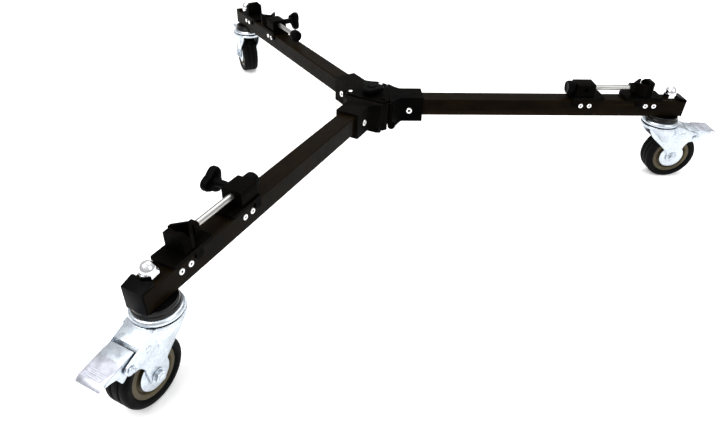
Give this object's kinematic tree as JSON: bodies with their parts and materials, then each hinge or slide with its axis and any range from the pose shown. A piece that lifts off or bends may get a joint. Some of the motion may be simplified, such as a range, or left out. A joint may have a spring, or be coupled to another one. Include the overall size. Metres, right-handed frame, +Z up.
{
  "type": "folding tripod dolly",
  "caption": "Folding dolly for a camera tripod: square-tube arms on a central hub, each with a sliding foot clamp and a braked swivel caster.",
  "frame": {"origin": "on the floor, under the middle of the footprint's bounding box; the hub's axis stands at x -0.1283, y -0.0018 m", "axes": "+Z up; +X outward along the right arm; the other two arms stand at 120 and 240 degrees"},
  "size_m": [0.821, 0.9526, 0.1624],
  "materials": {
    "arm_paint": "semi-gloss black paint",
    "casting": "satin black coated casting",
    "black_plastic": "moulded black plastic",
    "zinc": "bright zinc plate",
    "bright_rod": "ground bright steel",
    "chrome": "polished chrome",
    "tyre_rubber": "black rubber",
    "core_plastic": "moulded brown plastic"
  },
  "bodies": {
    "hub": {"hub_body": "casting", "hub_cover": "casting", "hinge_pin_right": "zinc", "hinge_pin_back": "zinc", "hinge_pin_front": "zinc"},
    "lock_knob": {"lock_knob": "black_plastic"},
    "arm_right": {"arm_socket_right": "casting", "socket_rivet_right": "zinc", "arm_tube_right": "arm_paint", "end_cap_right": "black_plastic", "cap_nut_right": "chrome", "clamp_housing_right": "casting", "jaw_bracket_right": "casting", "clamp_rivets_right": "zinc", "caster_race_right": "zinc"},
    "rod_right": {"clamp_rod_right": "bright_rod", "rod_knob_right": "black_plastic", "moving_jaw_right": "casting"},
    "fork_right": {"caster_fork_right": "zinc", "axle_set_right": "zinc"},
    "pedal_right": {"brake_pedal_right": "zinc"},
    "wheel_right": {"wheel_core_right": "core_plastic", "wheel_tyre_right": "tyre_rubber"},
    "arm_back": {"arm_socket_back": "casting", "socket_rivet_back": "zinc", "arm_tube_back": "arm_paint", "end_cap_back": "black_plastic", "cap_nut_back": "chrome", "clamp_housing_back": "casting", "jaw_bracket_back": "casting", "clamp_rivets_back": "zinc", "caster_race_back": "zinc"},
    "rod_back": {"clamp_rod_back": "bright_rod", "rod_knob_back": "black_plastic", "moving_jaw_back": "casting"},
    "star_back": {"star_knob_back": "black_plastic"},
    "fork_back": {"caster_fork_back": "zinc", "axle_set_back": "zinc"},
    "pedal_back": {"brake_pedal_back": "zinc"},
    "wheel_back": {"wheel_core_back": "core_plastic", "wheel_tyre_back": "tyre_rubber"},
    "arm_front": {"arm_socket_front": "casting", "socket_rivet_front": "zinc", "arm_tube_front": "arm_paint", "end_cap_front": "black_plastic", "cap_nut_front": "chrome", "clamp_housing_front": "casting", "jaw_bracket_front": "casting", "clamp_rivets_front": "zinc", "caster_race_front": "zinc"},
    "rod_front": {"clamp_rod_front": "bright_rod", "rod_knob_front": "black_plastic", "moving_jaw_front": "casting"},
    "star_front": {"star_knob_front": "black_plastic"},
    "fork_front": {"caster_fork_front": "zinc", "axle_set_front": "zinc"},
    "pedal_front": {"brake_pedal_front": "zinc"},
    "wheel_front": {"wheel_core_front": "core_plastic", "wheel_tyre_front": "tyre_rubber"}
  },
  "joints": [
    {"name": "lock_knob_turn", "type": "hinge", "parent": "hub", "child": "lock_knob", "pos_m": [-0.1283, -0.00184, 0.1415], "axis": [0, 0, 1], "range_deg": [0, 360]},
    {"name": "fold_right", "type": "hinge", "parent": "hub", "child": "arm_right", "pos_m": [-0.0993, -0.00184, 0.0975], "axis": [0, 1, 0], "range_deg": [0, 70]},
    {"name": "rod_slide_right", "type": "slide", "parent": "arm_right", "child": "rod_right", "axis": [1, 0, 0], "range_m": [-0.056, 0]},
    {"name": "swivel_right", "type": "hinge", "parent": "arm_right", "child": "fork_right", "pos_m": [0.3217, -0.00184, 0.0915], "axis": [0, 0, 1], "continuous": true},
    {"name": "wheel_turn_right", "type": "hinge", "parent": "fork_right", "child": "wheel_right", "pos_m": [0.3527, -0.00184, 0.0375], "axis": [0, 1, 0], "continuous": true},
    {"name": "pedal_turn_right", "type": "hinge", "parent": "fork_right", "child": "pedal_right", "pos_m": [0.3777, -0.00184, 0.0725], "axis": [0, 1, 0], "range_deg": [0, 12]},
    {"name": "fold_back", "type": "hinge", "parent": "hub", "child": "arm_back", "pos_m": [-0.1428, 0.02327, 0.0975], "axis": [-0.866, -0.5, 0], "range_deg": [0, 70]},
    {"name": "rod_slide_back", "type": "slide", "parent": "arm_back", "child": "rod_back", "axis": [-0.5, 0.866, 0], "range_m": [0, 0.056]},
    {"name": "star_turn_back", "type": "hinge", "parent": "arm_back", "child": "star_back", "pos_m": [-0.25957, 0.28552, 0.147], "axis": [0.866, 0.5, 0], "range_deg": [0, 360]},
    {"name": "swivel_back", "type": "hinge", "parent": "arm_back", "child": "fork_back", "pos_m": [-0.3533, 0.38787, 0.0915], "axis": [0, 0, 1], "continuous": true},
    {"name": "wheel_turn_back", "type": "hinge", "parent": "fork_back", "child": "wheel_back", "pos_m": [-0.36391, 0.417, 0.0375], "axis": [-0.9397, -0.342, 0], "continuous": true},
    {"name": "pedal_turn_back", "type": "hinge", "parent": "fork_back", "child": "pedal_back", "pos_m": [-0.37246, 0.44049, 0.0725], "axis": [-0.9397, -0.342, 0], "range_deg": [0, 12]},
    {"name": "fold_front", "type": "hinge", "parent": "hub", "child": "arm_front", "pos_m": [-0.1428, -0.02696, 0.0975], "axis": [0.866, -0.5, 0], "range_deg": [0, 70]},
    {"name": "rod_slide_front", "type": "slide", "parent": "arm_front", "child": "rod_front", "axis": [-0.5, -0.866, 0], "range_m": [-0.056, 0]},
    {"name": "star_turn_front", "type": "hinge", "parent": "arm_front", "child": "star_front", "pos_m": [-0.31153, -0.25921, 0.147], "axis": [-0.866, 0.5, 0], "range_deg": [0, 360]},
    {"name": "swivel_front", "type": "hinge", "parent": "arm_front", "child": "fork_front", "pos_m": [-0.3533, -0.39155, 0.0915], "axis": [0, 0, 1], "continuous": true},
    {"name": "wheel_turn_front", "type": "hinge", "parent": "fork_front", "child": "wheel_front", "pos_m": [-0.3688, -0.4184, 0.0375], "axis": [0.866, -0.5, 0], "continuous": true},
    {"name": "pedal_turn_front", "type": "hinge", "parent": "fork_front", "child": "pedal_front", "pos_m": [-0.3813, -0.44005, 0.0725], "axis": [0.866, -0.5, 0], "range_deg": [-8, 4]}
  ]
}
